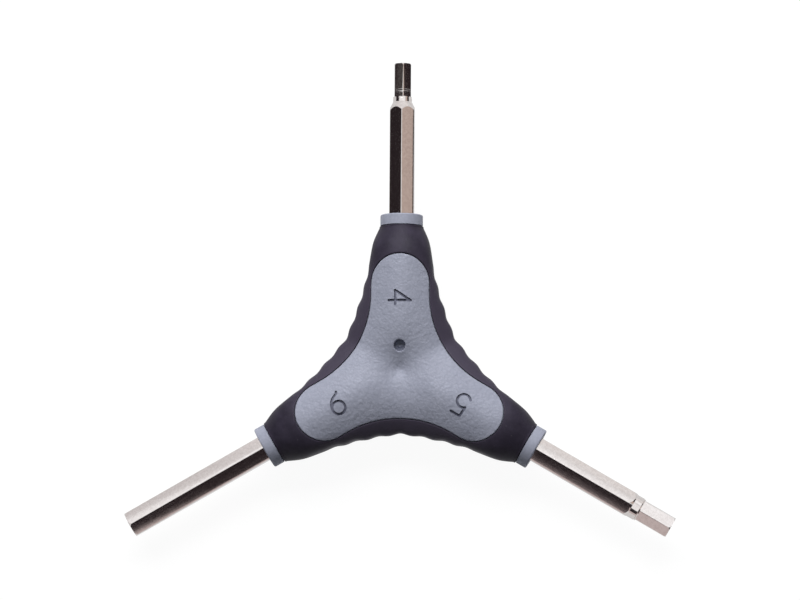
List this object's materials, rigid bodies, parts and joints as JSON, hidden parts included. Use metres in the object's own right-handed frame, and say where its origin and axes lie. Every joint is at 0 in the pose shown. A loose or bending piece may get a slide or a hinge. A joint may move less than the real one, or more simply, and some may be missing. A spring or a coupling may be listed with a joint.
{
  "type": "three-way hex key wrench",
  "caption": "Y-shaped hex key wrench with a rigid core, a ridged rubber grip and stepped steel hex keys standing out of its arms.",
  "frame": {"origin": "the middle of the Y at mid-thickness, where the middle lines of the three keys meet", "axes": "+Z out of the front face, square to the plane of the three keys; +Y out along the 4 mm key; +X to the side of the 5 mm key"},
  "size_m": [0.1327, 0.1151, 0.016],
  "materials": {
    "grey_plastic": "fine moulded grain",
    "black_rubber": "satin moulded rubber",
    "key_steel_4mm": "plated, drawn along its length",
    "key_steel_5mm": "plated, drawn along its length",
    "key_steel_6mm": "plated, drawn along its length"
  },
  "bodies": {
    "root": {"core_handle": "grey_plastic", "rubber_grip": "black_rubber", "hex_key_4mm": "key_steel_4mm", "hex_key_5mm": "key_steel_5mm", "hex_key_6mm": "key_steel_6mm"}
  },
  "joints": []
}
